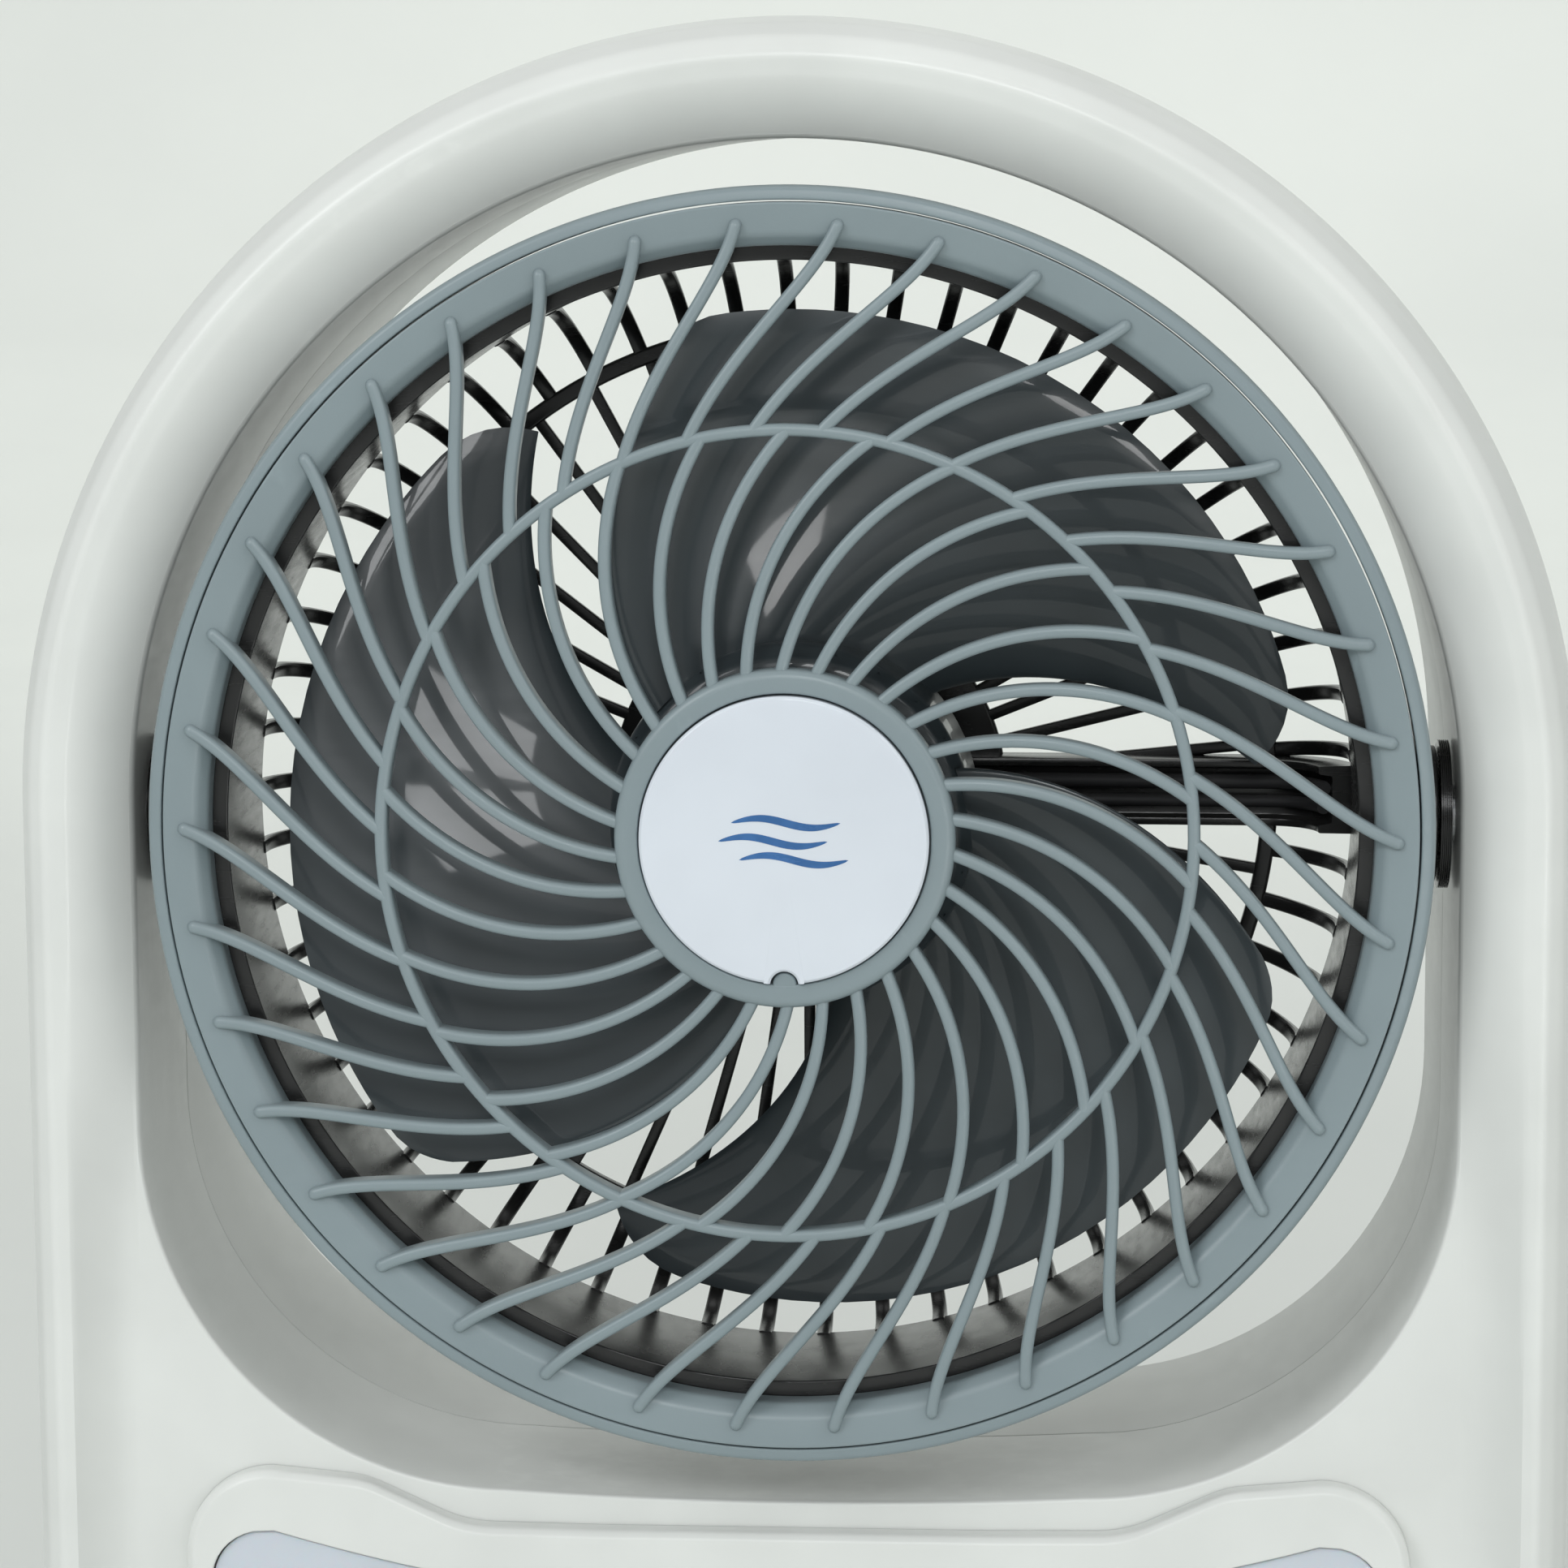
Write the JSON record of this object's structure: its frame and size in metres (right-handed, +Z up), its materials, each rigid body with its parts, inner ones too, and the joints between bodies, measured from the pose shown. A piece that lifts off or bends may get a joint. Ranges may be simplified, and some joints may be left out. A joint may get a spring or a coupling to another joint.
{
  "type": "box fan",
  "caption": "Rechargeable desk fan: a round grilled fan head tilts inside an arch-shaped housing whose base holds a lamp, two knobs and a battery.",
  "frame": {"origin": "middle of the base, on the surface that the feet stand on", "axes": "+Z up, front facing -Y, +X to the right seen from the front"},
  "size_m": [0.308, 0.117, 0.4152],
  "materials": {
    "shell_white": "satin gloss white",
    "lamp_lens": "clear milky",
    "reflector_white": "satin",
    "board_green": "satin",
    "inner_black": "matte",
    "guard_black": "satin",
    "foot_rubber": "matte",
    "steel": "satin",
    "bearing_bronze": "satin",
    "blade_slate": "gloss",
    "grille_grey": "satin",
    "badge_white": "gloss",
    "knob_grey": "satin"
  },
  "bodies": {
    "housing": {"front_housing": "shell_white", "rear_housing": "shell_white", "foot_1": "foot_rubber", "foot_2": "foot_rubber", "foot_3": "foot_rubber", "foot_4": "foot_rubber", "lamp_bezel": "shell_white", "lamp_diffuser": "lamp_lens", "lamp_reflector": "reflector_white", "lamp_board": "board_green", "control_board": "board_green", "speed_switch": "inner_black", "light_switch": "inner_black", "charge_window": "lamp_lens", "battery": "inner_black", "battery_door": "shell_white", "battery_door_screw": "steel", "charge_inlet": "guard_black", "charge_jack": "guard_black", "housing_screw_1": "steel", "housing_screw_2": "steel", "housing_screw_3": "steel", "housing_screw_4": "steel", "left_pivot_collar": "guard_black", "right_pivot_collar": "guard_black"},
    "fan_head": {"front_grille": "grille_grey", "clamp_ring": "grille_grey", "grille_badge": "badge_white", "rear_grille": "guard_black", "motor_can": "steel", "motor_end_cap": "guard_black", "front_bearing": "bearing_bronze", "rear_bearing": "bearing_bronze", "motor_cover": "guard_black", "motor_screw_1": "steel", "motor_screw_2": "steel", "motor_screw_3": "steel", "left_pivot_pin": "steel", "right_pivot_pin": "steel", "left_spring_washer": "steel", "right_spring_washer": "steel", "left_pivot_nut": "steel", "right_pivot_nut": "steel"},
    "fan_rotor": {"impeller": "blade_slate", "impeller_nut": "blade_slate", "motor_shaft": "steel", "motor_rotor": "steel"},
    "speed_dial": {"speed_knob": "knob_grey"},
    "light_dial": {"light_knob": "knob_grey"}
  },
  "joints": [
    {"name": "head_tilt", "type": "hinge", "parent": "housing", "child": "fan_head", "pos_m": [0, -0.0175, 0.258], "axis": [-1, 0, 0], "range_deg": [-20, 40]},
    {"name": "blade_spin", "type": "hinge", "parent": "fan_head", "child": "fan_rotor", "pos_m": [0, -0.0375, 0.258], "axis": [0, 1, 0], "continuous": true},
    {"name": "speed_turn", "type": "hinge", "parent": "housing", "child": "speed_dial", "pos_m": [-0.052, -0.045, 0.044], "axis": [0, 1, 0], "range_deg": [0, 135]},
    {"name": "light_turn", "type": "hinge", "parent": "housing", "child": "light_dial", "pos_m": [0.052, -0.045, 0.044], "axis": [0, 1, 0], "range_deg": [0, 90]}
  ]
}
